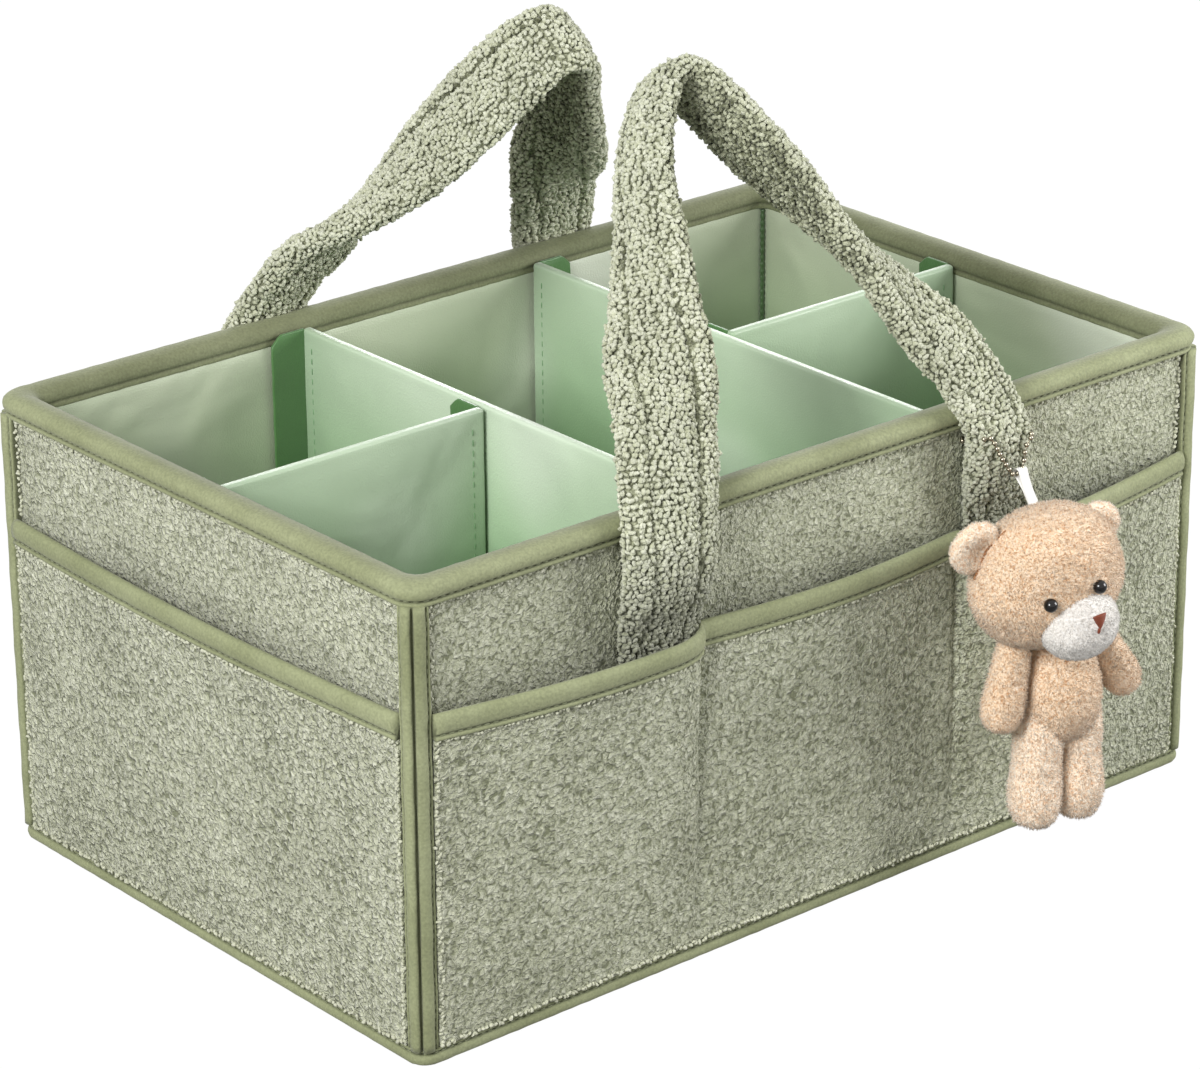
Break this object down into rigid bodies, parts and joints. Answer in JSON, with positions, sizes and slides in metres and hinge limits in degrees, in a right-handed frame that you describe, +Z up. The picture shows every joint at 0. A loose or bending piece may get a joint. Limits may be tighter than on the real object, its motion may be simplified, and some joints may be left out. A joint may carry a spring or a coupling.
{
  "type": "diaper caddy",
  "caption": "Open-topped fleece storage caddy with slip pockets, satin dividers, padded handles and a hanging plush bear charm.",
  "frame": {"origin": "centre of the caddy's underside", "axes": "+X along the long side, -Y is the front wall with the bear, +Z up"},
  "size_m": [0.3954, 0.3295, 0.3139],
  "materials": {
    "fleece": "curly fleece",
    "handle_fleece": "curly fleece",
    "tape": "woven binding tape",
    "lining": "satin",
    "divider_satin": "satin",
    "base_cloth": "plain cloth",
    "board": "stiffening board",
    "core": "webbing and wadding",
    "plush": "short plush",
    "muzzle": "short plush",
    "nose": "satin stitch",
    "eyes": "glossy bead",
    "ribbon": "satin ribbon",
    "chain": "polished steel"
  },
  "bodies": {
    "caddy": {"base_cover": "base_cloth", "base_board": "board", "base_lining": "lining", "foot_tape": "tape", "rim_tape": "tape", "front_fleece_panel": "fleece", "front_board": "board", "front_lining": "lining", "front_pocket": "fleece", "front_pocket_tape": "tape", "right_fleece_panel": "fleece", "right_board": "board", "right_lining": "lining", "right_pocket": "fleece", "right_pocket_tape": "tape", "back_fleece_panel": "fleece", "back_board": "board", "back_lining": "lining", "back_pocket": "fleece", "back_pocket_tape": "tape", "left_fleece_panel": "fleece", "left_board": "board", "left_lining": "lining", "left_pocket": "fleece", "left_pocket_tape": "tape", "front_left_corner_tape": "tape", "front_right_corner_tape": "tape", "back_right_corner_tape": "tape", "back_left_corner_tape": "tape", "front_handle_left_leg": "handle_fleece", "front_handle_right_leg": "handle_fleece", "back_handle_left_leg": "handle_fleece", "back_handle_right_leg": "handle_fleece", "ball_chain": "chain"},
    "front_handle": {"front_handle_sleeve": "handle_fleece", "front_handle_core": "core"},
    "back_handle": {"back_handle_sleeve": "handle_fleece", "back_handle_core": "core"},
    "left_cross_divider": {"left_cross_divider_cover": "divider_satin", "left_cross_divider_board": "board"},
    "right_cross_divider": {"right_cross_divider_cover": "divider_satin", "right_cross_divider_board": "board"},
    "left_long_divider": {"left_long_divider_cover": "divider_satin", "left_long_divider_board": "board"},
    "right_long_divider": {"right_long_divider_cover": "divider_satin", "right_long_divider_board": "board"},
    "ribbon": {"ribbon_loop": "ribbon"},
    "bear": {"bear_head": "plush", "bear_body": "plush", "bear_left_arm": "plush", "bear_right_arm": "plush", "bear_left_leg": "plush", "bear_right_leg": "plush", "bear_left_ear": "plush", "bear_right_ear": "plush", "bear_muzzle": "muzzle", "bear_nose": "nose", "bear_left_eye": "eyes", "bear_right_eye": "eyes"}
  },
  "joints": [
    {"name": "front_handle_hinge", "type": "hinge", "parent": "caddy", "child": "front_handle", "pos_m": [0, -0.1361, 0.186], "axis": [1, 0, 0], "range_deg": [-20, 150]},
    {"name": "back_handle_hinge", "type": "hinge", "parent": "caddy", "child": "back_handle", "pos_m": [0, 0.1361, 0.186], "axis": [-1, 0, 0], "range_deg": [-16, 165]},
    {"name": "left_cross_divider_lift", "type": "slide", "parent": "caddy", "child": "left_cross_divider", "axis": [0, 0, 1], "range_m": [0, 0.018]},
    {"name": "right_cross_divider_lift", "type": "slide", "parent": "caddy", "child": "right_cross_divider", "axis": [0, 0, 1], "range_m": [0, 0.018]},
    {"name": "left_long_divider_lift", "type": "slide", "parent": "caddy", "child": "left_long_divider", "axis": [0, 0, 1], "range_m": [0, 0.18]},
    {"name": "right_long_divider_lift", "type": "slide", "parent": "caddy", "child": "right_long_divider", "axis": [0, 0, 1], "range_m": [0, 0.18]},
    {"name": "charm_swing_out", "type": "hinge", "parent": "caddy", "child": "ribbon", "pos_m": [0.08, -0.13705, 0.155], "axis": [1, 0, 0], "range_deg": [-60, 0]},
    {"name": "bear_sway", "type": "hinge", "parent": "ribbon", "child": "bear", "pos_m": [0.08, -0.146, 0.1407], "axis": [0, 1, 0], "range_deg": [-15, 15]}
  ]
}
